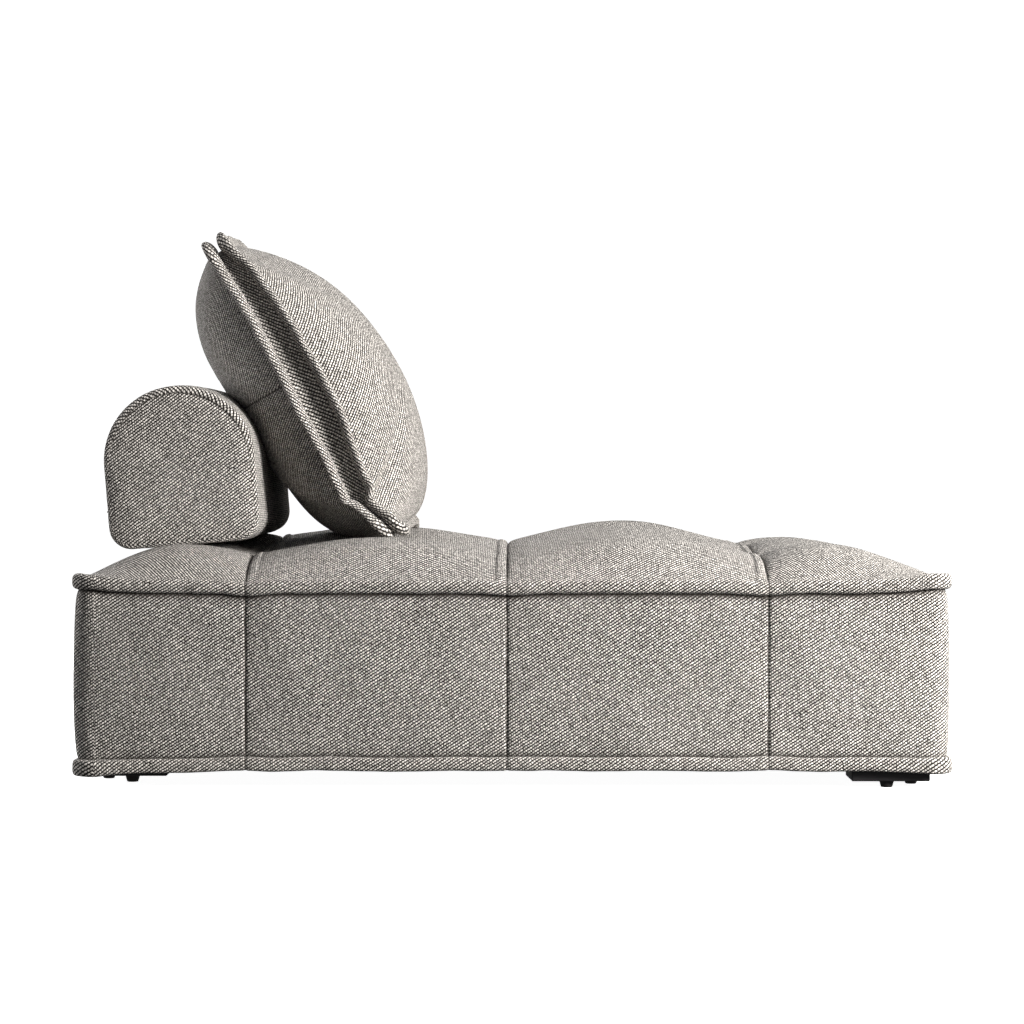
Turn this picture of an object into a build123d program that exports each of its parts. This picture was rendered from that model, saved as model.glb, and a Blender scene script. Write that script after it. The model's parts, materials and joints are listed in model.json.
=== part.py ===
"""Low upholstered daybed: a tufted platform with a loose bolster and a loose back pillow.

Frame of the part: +Z is up, +X runs from the head end to the foot end, and -Y is the front long side.
The origin is on the floor, under the middle of the platform. All sizes are in millimetres.
"""

import os
from math import cos, radians, sin

from build123d import *

os.makedirs("parts", exist_ok=True)

# ---------------------------------------------------------------- driving dimensions

# Platform
length = 1500.0  # over the flanges, head end to foot end
width = 1000.0  # over the flanges, front to back
flange_out = 7.5  # how far a sewn flange stands out from the side cover
flange_high = 20.0
flange_round = 3.0
top_flange_drop = 7.0  # from the side cover's top edge down to the flange's lower edge
bottom_flange_drop = 2.0  # from the side cover's bottom edge down to the flange's lower edge
cover = 2.0  # thickness of the upholstery fabric with its lining
plan_corner = 30.0  # radius of the side cover's vertical corners
seam_gap = 0.6  # between two panels that are sewn together
fit_gap = 0.7  # between soft pieces of different bodies that rest on each other

# Tufting: three panels across the width, four along the length
column_pitch = 446.0  # distance between the seams that run across the platform
column_shift = -9.0  # the middle one of those seams, measured from the platform's centre
row_pitch = 446.0  # distance between the two seams that run along the platform
column_rise = (60.0, 72.0, 92.0, 70.0)  # crown of the pockets above the seat foam, head to foot
pocket_corner = 32.0

# Feet
glide_high = 11.5
glide_top_radius = 13.0
glide_foot_radius = 9.5
glide_round = 2.0
glide_stem_radius = 3.0
glide_stem = 9.0
block_length = 134.0
block_depth = 95.0
block_high = 20.0
block_round = 1.5
foot_block_end = 28.0  # from the side cover's end face to the block, at the foot end
foot_block_side = 12.0  # from the side cover's long face to the block, at the foot end
head_block_end = 8.0
head_block_side = 100.0
glide_spots = ((62.0, 20.0), (111.0, 77.0))  # from the block's inner end and from its outer long face
dust_cover_thick = 1.0
dust_cover_edge = 8.0  # how far the dust cover stays inside the side cover's face

# Timber frame
board = 18.0
frame_high = 200.0
side_pad = 35.0
cross_rail_drop = 40.0  # the cross rails stay below the webbing by this much
cross_rail_spacing = 474.0
corner_block = 45.0
corner_block_gap = 12.0  # below the frame's top edge
support_length = 170.0
support_depth = 215.0

# Suspension and filling
strap_wide = 80.0
strap_thick = 2.0
crosswise_straps = 9
lengthwise_straps = 6
strap_margin = 60.0  # from the frame's outer face to the first strap's edge
seat_foam_high = 108.5

# Screws
screw_radius = 2.5
screw_head_radius = 5.0
screw_head_high = 3.0
frame_screw_length = 55.0
frame_screw_rows = 3
foot_screw_length = 34.0
foot_screw_spots = ((20.0, 52.0), (20.0, 81.0), (78.0, 52.0))  # as the glide spots

# Bolster
bolster_wide = 266.0
bolster_high = 280.0
bolster_long = 700.0
bolster_lower_round = 38.0
bolster_tilt = 3.5  # degrees that it leans towards the head end
bolster_setback = 26.0  # from the platform's head face to the bolster's back
bolster_board_thick = 12.0
bolster_board_margin = 48.0  # from the bolster's side to its base board
bolster_board_short = 40.0  # the base board is shorter than the foam by this much at each end
weight_wide = 40.0
weight_high = 12.0
weight_long = 420.0
weight_margin = 20.0  # from the base board's side to a weight

# Back pillow
pillow_wide = 600.0  # along Y
pillow_tall = 590.0
pillow_corner = 40.0
pillow_gusset_wide = 44.0
pillow_front_crown = 138.0
pillow_back_crown = 97.0
pillow_flange = 12.0
pillow_flange_thick = 4.0
pillow_flange_round = 1.6
pillow_lean = 32.2  # degrees from upright

# Zips
zip_tape_wide = 9.0
zip_coil_wide = 3.0
zip_coil_high = 1.6
zip_end = 60.0  # from the cover's end to the zip's end
bolster_zip_height = 66.0  # above the bolster's underside
pillow_zip_long = 460.0
slider_long = 13.0
slider_wide = 9.0
slider_wall = 1.3
slider_play = 0.35
slider_round = 2.5
loop_long = 9.0
loop_wide = 3.0
loop_high = 3.6
loop_wire = 1.2
loop_sunk = 0.4  # into the slider's roof, where it is fixed
zip_stop = 3.0  # between the slider and the end of the zip

# ---------------------------------------------------------------- worked-out places

panel_length = length - 2 * flange_out
panel_width = width - 2 * flange_out
half_length = panel_length / 2
half_width = panel_width / 2

block_top = glide_high + block_high
frame_bottom = block_top + dust_cover_thick
frame_top = frame_bottom + frame_high
frame_inset = cover + side_pad
frame_length = panel_length - 2 * frame_inset
frame_width = panel_width - 2 * frame_inset
foam_bottom = frame_top + 2 * strap_thick
foam_top = foam_bottom + seat_foam_high
cover_bottom = frame_bottom + 3.5
frame_corner = 1.0

column_lines = (
    -half_length,
    column_shift - column_pitch,
    column_shift,
    column_shift + column_pitch,
    half_length,
)
row_lines = (-half_width, -row_pitch / 2, row_pitch / 2, half_width)
column_names = ("head", "pillow", "seat", "foot")

# The bolster stands on the head column, leaning towards the head end
tilt = radians(bolster_tilt)
bolster_half = bolster_wide / 2
bolster_flat_half = bolster_half - bolster_lower_round
bolster_base_z = (
    foam_top
    + column_rise[0]
    + fit_gap
    + bolster_flat_half * sin(tilt)
    + bolster_lower_round * (1 - cos(tilt))
)
bolster_arc_height = bolster_high - bolster_half
bolster_base_x = -half_length + bolster_setback + bolster_half + bolster_arc_height * sin(tilt)
bolster_plane = Plane(
    origin=(bolster_base_x, bolster_long / 2, bolster_base_z),
    x_dir=(cos(tilt), 0, sin(tilt)),
    z_dir=(0, -1, 0),
)
bolster_arc_x = bolster_base_x - bolster_arc_height * sin(tilt)
bolster_arc_z = bolster_base_z + bolster_arc_height * cos(tilt)

# The pillow stands on the second column and leans on the bolster's round top
lean = radians(pillow_lean)
gusset_half = pillow_gusset_wide / 2
pillow_z = (
    foam_top
    + column_rise[1]
    + fit_gap
    + (pillow_tall / 2 + pillow_flange) * cos(lean)
    + gusset_half * sin(lean)
)
pillow_reach = bolster_half + fit_gap + pillow_back_crown + gusset_half
pillow_x = bolster_arc_x + (pillow_reach - (pillow_z - bolster_arc_z) * sin(lean)) / cos(lean)
pillow_plane = Plane(
    origin=(pillow_x, 0, pillow_z), x_dir=(0, 1, 0), z_dir=(cos(lean), 0, sin(lean))
)

# ---------------------------------------------------------------- helpers


def save(piece, name):
    """Labels a finished piece and writes it as parts/name.step."""
    piece.label = name
    export_step(piece, f"parts/{name}.step")


def joined(pieces):
    """Several solids as one part."""
    with BuildPart() as whole:
        add(pieces)
    return whole.part


def cut(piece, tools):
    """A piece with other pieces taken out of it."""
    with BuildPart() as rest:
        add(piece)
        add(tools, mode=Mode.SUBTRACT)
    return rest.part


def slab(plane, size_x, size_y, corner, thickness):
    """A rounded rectangle on a plane, thickened along the plane's normal."""
    with BuildPart() as plate:
        with BuildSketch(plane):
            RectangleRounded(size_x, size_y, corner)
        extrude(amount=thickness)
    return plate.part


def crowned(plane, size_x, size_y, corner, rise):
    """A stuffed shape on a rounded rectangle: its sections shrink as it rises."""
    sections = 5
    last_angle = radians(74)
    with BuildPart() as solid:
        for step in range(sections + 1):
            angle = last_angle * step / sections
            shrink = cos(angle) ** 0.8
            height = rise * sin(angle) / sin(last_angle)
            with BuildSketch(plane.offset(height)):
                RectangleRounded(size_x * shrink, size_y * shrink, corner * shrink)
        loft()
    return solid.part


def foot_corners():
    """Each foot block's name, its inner corner in plan and the directions to its outer corner."""
    head_x = half_length - head_block_end - block_length
    head_y = half_width - head_block_side - block_depth
    foot_x = half_length - foot_block_end - block_length
    foot_y = half_width - foot_block_side - block_depth
    return (
        ("head_front", -head_x, -head_y, -1, -1),
        ("head_back", -head_x, head_y, -1, 1),
        ("foot_front", foot_x, -foot_y, 1, -1),
        ("foot_back", foot_x, foot_y, 1, 1),
    )


def spots_under_blocks(spots):
    """The places in plan of the same few spots on each of the four foot blocks."""
    return [
        (x + along * from_inner, y + out * (block_depth - from_outer))
        for _, x, y, along, out in foot_corners()
        for from_inner, from_outer in spots
    ]


# ---------------------------------------------------------------- screws and glides


def screw(plane, total_length):
    """A countersunk wood screw: its head is flush with the plane, its shank runs against the normal."""
    with BuildPart() as body:
        with BuildSketch(plane):
            Circle(screw_head_radius)
        with BuildSketch(plane.offset(-screw_head_high)):
            Circle(screw_radius)
        loft()
        with BuildSketch(plane.offset(-screw_head_high)):
            Circle(screw_radius)
        extrude(amount=-(total_length - screw_head_high))
    return body.part


def frame_screw_planes():
    """Where the side rails are screwed to the end rails and to the cross rails."""
    end_x = frame_length / 2 - board / 2
    cross_x = cross_rail_spacing / 2
    pitch = frame_high / frame_screw_rows
    planes = []
    for side in (-1, 1):
        for x, rows in ((-end_x, 3), (-cross_x, 2), (cross_x, 2), (end_x, 3)):
            for row in range(rows):
                place = (x, side * frame_width / 2, frame_bottom + pitch * (row + 0.5))
                planes.append(Plane(origin=place, x_dir=(1, 0, 0), z_dir=(0, side, 0)))
    return planes


def foot_screw_planes():
    """Where the blocks are screwed up into the frame, from below."""
    return [
        Plane(origin=(x, y, glide_high), x_dir=(1, 0, 0), z_dir=(0, 0, -1))
        for x, y in spots_under_blocks(foot_screw_spots)
    ]


frame_screws = joined([screw(plane, frame_screw_length) for plane in frame_screw_planes()])
foot_screws = joined([screw(plane, foot_screw_length) for plane in foot_screw_planes()])

on_floor = (Align.CENTER, Align.CENTER, Align.MIN)
with BuildPart() as glide_set:
    with Locations(*[(x, y, 0) for x, y in spots_under_blocks(glide_spots)]):
        Cone(glide_foot_radius, glide_top_radius, glide_high, align=on_floor)
    fillet(glide_set.edges().group_by(Axis.Z)[0], glide_round)
    with Locations(*[(x, y, glide_high) for x, y in spots_under_blocks(glide_spots)]):
        Cylinder(glide_stem_radius, glide_stem, align=on_floor)
glides = glide_set.part

save(frame_screws, "frame_screws")
save(foot_screws, "foot_screws")
save(glides, "glides")

# ---------------------------------------------------------------- foot blocks


def foot_block(x, y, along, out):
    """A lacquered block with bores for its glides' stems and countersinks for its screws."""
    centre = (x + along * block_length / 2, y + out * block_depth / 2, glide_high)
    with BuildPart() as block:
        with Locations(centre):
            Box(block_length, block_depth, block_high, align=on_floor)
        chamfer(block.edges().filter_by(Axis.Z), block_round)
        chamfer(block.faces().sort_by(Axis.Z)[0].edges(), block_round)
        add(glides, mode=Mode.SUBTRACT)
        add(foot_screws, mode=Mode.SUBTRACT)
    return block.part


for name, x, y, along, out in foot_corners():
    save(foot_block(x, y, along, out), f"foot_block_{name}")

# ---------------------------------------------------------------- timber frame

dust_cover_plan = (panel_length - 2 * dust_cover_edge, panel_width - 2 * dust_cover_edge)
dust_cover = slab(Plane.XY.offset(block_top), *dust_cover_plan, plan_corner, dust_cover_thick)
save(cut(dust_cover, foot_screws), "dust_cover")

inside_length = frame_length - 2 * board
inside_width = frame_width - 2 * board


def timber(places, size_x, size_y, size_z):
    """Boards of one size, standing on the frame's bottom, bored for the screws."""
    with BuildPart() as boards:
        with Locations(*[(x, y, frame_bottom) for x, y in places]):
            Box(size_x, size_y, size_z, align=on_floor)
        add(frame_screws, mode=Mode.SUBTRACT)
        add(foot_screws, mode=Mode.SUBTRACT)
    return boards.part


side_rail_y = frame_width / 2 - board / 2
end_rail_x = frame_length / 2 - board / 2
cross_places = [(-cross_rail_spacing / 2, 0), (cross_rail_spacing / 2, 0)]
support_places = [
    (
        along * (inside_length - support_length) / 2,
        out * (inside_width - support_depth) / 2,
    )
    for _, _, _, along, out in foot_corners()
]
save(timber([(0, -side_rail_y)], frame_length, board, frame_high), "side_rail_front")
save(timber([(0, side_rail_y)], frame_length, board, frame_high), "side_rail_back")
save(timber([(-end_rail_x, 0)], board, inside_width, frame_high), "head_rail")
save(timber([(end_rail_x, 0)], board, inside_width, frame_high), "foot_rail")
save(timber(cross_places, board, inside_width, frame_high - cross_rail_drop), "cross_rails")
save(timber(support_places, support_length, support_depth, board), "foot_support_boards")

with BuildPart() as corner_blocks:
    with BuildSketch(Plane.XY.offset(frame_bottom + board)):
        for _, _, _, along, out in foot_corners():
            corner = Vector(along * inside_length / 2, out * inside_width / 2)
            with BuildLine():
                Polyline(
                    corner,
                    corner - Vector(along * corner_block, 0),
                    corner - Vector(0, out * corner_block),
                    close=True,
                )
            make_face()
    extrude(amount=frame_high - board - corner_block_gap)
save(corner_blocks.part, "corner_blocks")

# ---------------------------------------------------------------- webbing and seat foam


def strap_offsets(count, span):
    """The middles of evenly spaced straps over a span."""
    pitch = (span - 2 * strap_margin - strap_wide) / (count - 1)
    return [(index - (count - 1) / 2) * pitch for index in range(count)]


with BuildPart() as crosswise_webbing:
    with Locations(*[(x, 0, frame_top) for x in strap_offsets(crosswise_straps, frame_length)]):
        Box(strap_wide, frame_width, strap_thick, align=on_floor)

upper_layer = frame_top + strap_thick
with BuildPart() as lengthwise_webbing:
    with Locations(*[(0, y, upper_layer) for y in strap_offsets(lengthwise_straps, frame_width)]):
        Box(frame_length, strap_wide, strap_thick, align=on_floor)

with BuildPart() as seat_foam:
    with Locations((0, 0, foam_bottom)):
        Box(frame_length, frame_width, seat_foam_high, align=on_floor)

save(crosswise_webbing.part, "crosswise_webbing")
save(lengthwise_webbing.part, "lengthwise_webbing")
save(seat_foam.part, "seat_foam")

# ---------------------------------------------------------------- side pads and side covers


def ring(bottom, top, outer_inset, inner_inset, outer_corner, inner_corner):
    """A band round the platform between two depths behind the side cover's face."""
    plane = Plane.XY.offset(bottom)
    with BuildPart() as band:
        with BuildSketch(plane):
            RectangleRounded(
                panel_length - 2 * outer_inset, panel_width - 2 * outer_inset, outer_corner
            )
            RectangleRounded(
                panel_length - 2 * inner_inset,
                panel_width - 2 * inner_inset,
                inner_corner,
                mode=Mode.SUBTRACT,
            )
        extrude(amount=top - bottom)
    return band.part


def side_of_band(band, side, depth, seams):
    """One side of a band, cut where seams cross it. The long sides keep the corners."""
    reach = depth / 2
    centre, size, gap = {
        "front": ((0, -half_width + reach), (panel_length, depth), (seam_gap, depth)),
        "back": ((0, half_width - reach), (panel_length, depth), (seam_gap, depth)),
        "head": ((-half_length + reach, 0), (depth, panel_width - 2 * depth), (depth, seam_gap)),
        "foot": ((half_length - reach, 0), (depth, panel_width - 2 * depth), (depth, seam_gap)),
    }[side]
    long_side = side in ("front", "back")
    cuts = [(line, centre[1]) if long_side else (centre[0], line) for line in seams]
    with BuildPart() as piece:
        add(band)
        with Locations((*centre, foam_top / 2)):
            Box(*size, 2 * foam_top, mode=Mode.INTERSECT)
        if cuts:
            with Locations(*[(x, y, foam_top / 2) for x, y in cuts]):
                Box(*gap, 2 * foam_top, mode=Mode.SUBTRACT)
    return piece.part


pad_band = ring(frame_bottom, foam_top, cover, frame_inset, plan_corner - cover, frame_corner)
cover_band = ring(cover_bottom, foam_top, 0, cover, plan_corner, plan_corner - cover)
cover_seams = {
    "front": column_lines[1:-1],
    "back": column_lines[1:-1],
    "head": row_lines[1:-1],
    "foot": row_lines[1:-1],
}
for side, seams in cover_seams.items():
    save(side_of_band(pad_band, side, frame_inset, ()), f"side_pad_{side}")
    save(side_of_band(cover_band, side, plan_corner, seams), f"side_cover_{side}")

# ---------------------------------------------------------------- platform flanges


def platform_flange(bottom):
    """A self-fabric flange that is sewn on all round the platform."""
    plane = Plane.XY.offset(bottom)
    with BuildPart() as flange:
        with BuildSketch(plane):
            RectangleRounded(length, width, plan_corner + flange_out)
        extrude(amount=flange_high)
        levels = flange.edges().group_by(Axis.Z)
        fillet(levels[0] + levels[-1], flange_round)
        with BuildSketch(plane):
            RectangleRounded(panel_length, panel_width, plan_corner)
        extrude(amount=flange_high, mode=Mode.SUBTRACT)
    return flange.part


save(platform_flange(foam_top - top_flange_drop), "top_flange")
save(platform_flange(cover_bottom - bottom_flange_drop), "bottom_flange")

# ---------------------------------------------------------------- tufted top


def pocket_place(column, row):
    """The plane on the foam under one tufted pocket, and the pocket's size in plan."""
    x_low, x_high = column_lines[column : column + 2]
    y_low, y_high = row_lines[row : row + 2]
    plane = Plane(origin=((x_low + x_high) / 2, (y_low + y_high) / 2, foam_top))
    return plane, x_high - x_low - seam_gap, y_high - y_low - seam_gap


def pocket_fill(column, row):
    """The fibre pad inside one pocket."""
    plane, size_x, size_y = pocket_place(column, row)
    rise = column_rise[column] - cover
    return crowned(plane, size_x - 2 * cover, size_y - 2 * cover, pocket_corner - cover, rise)


def pocket_panel(column, row):
    """The fabric over one pocket, a shell that its fibre pad fits."""
    plane, size_x, size_y = pocket_place(column, row)
    outside = crowned(plane, size_x, size_y, pocket_corner, column_rise[column])
    return cut(outside, pocket_fill(column, row))


rows = range(len(row_lines) - 1)
columns = range(len(column_lines) - 1)
save(joined([pocket_fill(column, row) for column in columns for row in rows]), "tuft_fill_pads")
for column, name in enumerate(column_names):
    save(joined([pocket_panel(column, row) for row in rows]), f"tufted_top_{name}")

# ---------------------------------------------------------------- zips


def zip_strip(plane, total_length):
    """A zip on its back in a plane: a tape as thick as the cover, flush with it, and its coil."""
    with BuildPart() as strip:
        with BuildSketch(plane):
            Rectangle(total_length, zip_tape_wide)
        extrude(amount=-cover)
        with BuildSketch(plane):
            Rectangle(total_length, zip_coil_wide)
        extrude(amount=zip_coil_high)
    return strip.part


def zip_slot(plane, total_length):
    """What is cut from a cover to let the zip in."""
    with BuildPart() as slot:
        with BuildSketch(plane.offset(-1.5 * cover)):
            Rectangle(total_length, zip_tape_wide)
        extrude(amount=2 * cover)
    return slot.part


def zip_slider(plane):
    """A slider that straddles the coil, with a fixed thumb loop. The plane's x runs along the zip."""
    channel_high = zip_coil_high + slider_play
    roof = channel_high + slider_wall
    loop_plane = Plane(origin=plane.origin, x_dir=plane.x_dir, z_dir=plane.y_dir)
    with BuildPart() as slider:
        with BuildSketch(plane.offset(slider_play)):
            RectangleRounded(slider_long, slider_wide, slider_round)
        extrude(amount=roof - slider_play)
        with BuildSketch(plane):
            Rectangle(2 * slider_long, zip_coil_wide + 2 * slider_play)
        extrude(amount=channel_high, mode=Mode.SUBTRACT)
        with BuildSketch(loop_plane.offset(-loop_wide / 2)):
            with Locations((0, -roof - loop_high / 2)):
                RectangleRounded(loop_long, loop_high + 2 * loop_sunk, loop_wire)
                Rectangle(
                    loop_long - 2 * loop_wire, loop_high - 2 * loop_wire, mode=Mode.SUBTRACT
                )
        extrude(amount=loop_wide)
    return slider.part


# ---------------------------------------------------------------- bolster


def bolster_profile(inset):
    """The bolster's D-shaped section, drawn from the middle of its underside."""
    half = bolster_half - inset
    with BuildSketch(mode=Mode.PRIVATE) as section:
        with Locations((0, bolster_arc_height)):
            Circle(half)
        with Locations((0, inset)):
            Rectangle(2 * half, bolster_arc_height - inset, align=(Align.CENTER, Align.MIN))
        fillet(section.vertices().group_by(Axis.Y)[0], bolster_lower_round - inset)
    return section.sketch_local


def bolster_length_of(start, section, amount):
    """A stretch of the bolster's section, from a distance before its back end."""
    with BuildPart() as piece:
        with BuildSketch(bolster_plane.offset(start)):
            add(section)
        extrude(amount=amount)
    return piece.part


def bolster_block(x, height, size_x, size_height, size_y):
    """A block in the bolster's own frame: x across, height above its underside, centred along Y."""
    with BuildPart() as block:
        with BuildSketch(bolster_plane.offset(bolster_long / 2 - size_y / 2)):
            with Locations((x, height + size_height / 2)):
                Rectangle(size_x, size_height)
        extrude(amount=size_y)
    return block.part


bolster_inner_long = bolster_long - 2 * cover
bolster_zip_long = bolster_long - 2 * zip_end
base_board_long = bolster_inner_long - 2 * bolster_board_short
bolster_board_wide = bolster_wide - 2 * bolster_board_margin
weight_spacing = bolster_board_wide - 2 * weight_margin - weight_wide
base_board = bolster_block(0, cover, bolster_board_wide, bolster_board_thick, base_board_long)
weights_base = cover + bolster_board_thick
weights = joined(
    [
        bolster_block(side * weight_spacing / 2, weights_base, weight_wide, weight_high, weight_long)
        for side in (-1, 1)
    ]
)
bolster_core = bolster_length_of(cover, bolster_profile(cover), bolster_inner_long)
bolster_tube = cut(
    bolster_length_of(cover, bolster_profile(0), bolster_inner_long), bolster_core
)
bolster_up = bolster_plane.y_dir
bolster_across = bolster_plane.x_dir
bolster_zip_plane = Plane(
    origin=Vector(bolster_base_x, 0, bolster_base_z)
    + bolster_up * bolster_zip_height
    - bolster_across * bolster_half,
    x_dir=(0, 1, 0),
    z_dir=-bolster_across,
)
bolster_zip_travel = bolster_zip_long - slider_long - 2 * zip_stop
bolster_slider_plane = Plane(
    origin=bolster_zip_plane.origin - Vector(0, bolster_zip_travel / 2, 0),
    x_dir=(0, 1, 0),
    z_dir=bolster_zip_plane.z_dir,
)

save(base_board, "bolster_base_board")
save(weights, "bolster_weights")
save(cut(bolster_core, [base_board, weights]), "bolster_foam")
save(cut(bolster_tube, zip_slot(bolster_zip_plane, bolster_zip_long)), "bolster_sleeve")
save(bolster_length_of(0, bolster_profile(0), cover), "bolster_end_back")
save(bolster_length_of(bolster_long - cover, bolster_profile(0), cover), "bolster_end_front")
save(zip_strip(bolster_zip_plane, bolster_zip_long), "bolster_zip")
save(zip_slider(bolster_slider_plane), "bolster_zip_slider")

# ---------------------------------------------------------------- pillow

pillow_edge = pillow_plane.offset(-gusset_half)
pillow_front = pillow_plane.offset(gusset_half)
pillow_back = Plane(origin=pillow_edge.origin, x_dir=(0, -1, 0), z_dir=-pillow_plane.z_dir)
inner_wide = pillow_wide - 2 * cover
inner_tall = pillow_tall - 2 * cover
inner_corner = pillow_corner - cover

front_outside = crowned(pillow_front, pillow_wide, pillow_tall, pillow_corner, pillow_front_crown)
back_outside = crowned(pillow_back, pillow_wide, pillow_tall, pillow_corner, pillow_back_crown)
front_inside = crowned(
    pillow_front, inner_wide, inner_tall, inner_corner, pillow_front_crown - cover
)
back_inside = crowned(pillow_back, inner_wide, inner_tall, inner_corner, pillow_back_crown - cover)
middle_inside = slab(pillow_edge, inner_wide, inner_tall, inner_corner, pillow_gusset_wide)
gusset_outside = slab(pillow_edge, pillow_wide, pillow_tall, pillow_corner, pillow_gusset_wide)
back_shell = cut(back_outside, back_inside)


def back_panel(side):
    """The back panel's upper (1) or lower (-1) half, above or below the seam across its middle."""
    with BuildPart() as panel:
        add(back_shell)
        with BuildSketch(pillow_back):
            with Locations((0, side * (pillow_tall + seam_gap) / 2)):
                Rectangle(pillow_wide, pillow_tall)
        extrude(amount=2 * pillow_back_crown, mode=Mode.INTERSECT)
    return panel.part


def pillow_flange_on(plane):
    """A narrow self-fabric flange round the pillow, standing out from the gusset."""
    outer_corner = pillow_corner + pillow_flange
    with BuildPart() as flange:
        with BuildSketch(plane):
            RectangleRounded(
                pillow_wide + 2 * pillow_flange, pillow_tall + 2 * pillow_flange, outer_corner
            )
        extrude(amount=pillow_flange_thick)
        faces = flange.faces().filter_by(Axis(plane.origin, plane.z_dir))
        fillet(faces.edges(), pillow_flange_round)
        with BuildSketch(plane):
            RectangleRounded(pillow_wide, pillow_tall, pillow_corner)
        extrude(amount=pillow_flange_thick, mode=Mode.SUBTRACT)
    return flange.part


pillow_zip_plane = Plane(
    origin=pillow_plane.origin - pillow_plane.y_dir * (pillow_tall / 2),
    x_dir=(0, 1, 0),
    z_dir=-pillow_plane.y_dir,
)
pillow_zip_travel = pillow_zip_long - slider_long - 2 * zip_stop
pillow_slider_plane = Plane(
    origin=pillow_zip_plane.origin - Vector(0, pillow_zip_travel / 2, 0),
    x_dir=(0, 1, 0),
    z_dir=pillow_zip_plane.z_dir,
)
gusset = cut(gusset_outside, [middle_inside, zip_slot(pillow_zip_plane, pillow_zip_long)])

save(joined([middle_inside, front_inside, back_inside]), "pillow_fill")
save(cut(front_outside, front_inside), "pillow_front_panel")
save(back_panel(1), "pillow_back_panel_upper")
save(back_panel(-1), "pillow_back_panel_lower")
save(gusset, "pillow_gusset")
save(pillow_flange_on(pillow_front.offset(-pillow_flange_thick)), "pillow_front_flange")
save(pillow_flange_on(pillow_edge), "pillow_back_flange")
save(zip_strip(pillow_zip_plane, pillow_zip_long), "pillow_zip")
save(zip_slider(pillow_slider_plane), "pillow_zip_slider")
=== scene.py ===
"""Looks of the upholstered daybed: tufted platform, bolster and back pillow in a coarse twill.

Shapes are worked out in millimetres in the CAD's own frame and handed to Blender in metres.
Soft shapes are grids of points moved in code; nothing is simulated.
"""

import json
import math

import bpy
import numpy as np
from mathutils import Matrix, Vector


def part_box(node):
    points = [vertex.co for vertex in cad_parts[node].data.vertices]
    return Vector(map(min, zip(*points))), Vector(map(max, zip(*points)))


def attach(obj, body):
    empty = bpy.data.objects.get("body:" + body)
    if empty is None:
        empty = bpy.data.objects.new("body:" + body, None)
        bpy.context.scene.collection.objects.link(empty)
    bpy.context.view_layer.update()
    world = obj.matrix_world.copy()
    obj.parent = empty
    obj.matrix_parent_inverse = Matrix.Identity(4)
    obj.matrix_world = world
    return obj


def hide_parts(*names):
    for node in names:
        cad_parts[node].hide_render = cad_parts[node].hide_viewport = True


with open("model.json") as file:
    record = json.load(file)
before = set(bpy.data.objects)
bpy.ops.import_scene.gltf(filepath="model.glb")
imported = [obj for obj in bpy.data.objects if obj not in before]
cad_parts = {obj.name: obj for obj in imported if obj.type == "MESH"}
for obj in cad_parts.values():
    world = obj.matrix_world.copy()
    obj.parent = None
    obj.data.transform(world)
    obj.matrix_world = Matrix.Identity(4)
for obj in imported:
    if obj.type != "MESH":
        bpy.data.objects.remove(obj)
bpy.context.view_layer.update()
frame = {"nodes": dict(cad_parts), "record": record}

MM = 0.001
SEED = 7
rng = np.random.default_rng(SEED)

# ---------------------------------------------------------------- sizes read from the CAD


def corners(node):
    """A node's lowest and highest corner, in millimetres."""
    low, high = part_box(node)
    return np.array(low) / MM, np.array(high) / MM


def middle_height(node):
    """Halfway between a node's lowest and highest points, in millimetres."""
    low, high = corners(node)
    return np.mean([low[2], high[2]])


PLAN_CORNER = 30.0  # radius of the platform's vertical corners
HALF_SEAM = 0.3  # from a tufted column's edge to the middle of its seam
HALF_X = corners("side_cover_front")[1][0]
HALF_Y = corners("side_cover_head")[1][1] + PLAN_CORNER
COLUMNS = [-HALF_X]
for column in ("head", "pillow", "seat"):
    COLUMNS.append(corners(f"tufted_top_{column}")[1][0] + HALF_SEAM)
COLUMNS = np.array([*COLUMNS, HALF_X])
ROW = (COLUMNS[3] - COLUMNS[2]) / 2
ROWS = np.array([-HALF_Y, -ROW, ROW, HALF_Y])
FLANGE_MID = middle_height("top_flange")
HEM_MID = middle_height("bottom_flange")

# ---------------------------------------------------------------- small numeric helpers


def ripple(at, shortest, longest, waves=7, round_trip=None):
    """A smooth random wave of a position in millimetres, between about -1 and 1.

    On a closed line, round_trip is its length, and the wave meets itself there.
    """
    total = np.zeros_like(at, dtype=float)
    for _ in range(waves):
        length = rng.uniform(shortest, longest)
        if round_trip:
            length = round_trip / round(round_trip / length)
        total += rng.uniform(0.5, 1) * np.sin(2 * np.pi * at / length + rng.uniform(0, 6.28))
    return total / (0.55 * waves)  # waves at random phases rarely all add up


def patches(at, length=180.0, round_trip=None):
    """Where puckers are strong and where they fade, from 0.05 to 1."""
    return np.clip(0.55 + 0.55 * ripple(at, length * 0.6, length * 1.6, 4, round_trip), 0.05, 1)


def hill(gap, reach, power=2):
    """1 where a distance is 0, falling off smoothly over its reach."""
    return np.exp(-((gap / reach) ** power))


def puckered(at, round_trip):
    """Short puckers along a closed line, strong in some places only."""
    return ripple(at, 22, 60, round_trip=round_trip) * patches(at, round_trip=round_trip)


NEAR_SEAM = np.array((0, 1.2, 2.4, 3.8, 5.6, 8, 11, 13.5, 16, 18.5, 21.5))  # millimetres


def stations(low, high, step):
    """Positions from low to high, close together near both ends, where the seams are."""
    count = max(2, int((high - low) / step))
    middle = np.linspace(low + NEAR_SEAM[-1], high - NEAR_SEAM[-1], count)
    return np.concatenate([low + NEAR_SEAM[:-1], middle, high - NEAR_SEAM[:-1][::-1]])


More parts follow.
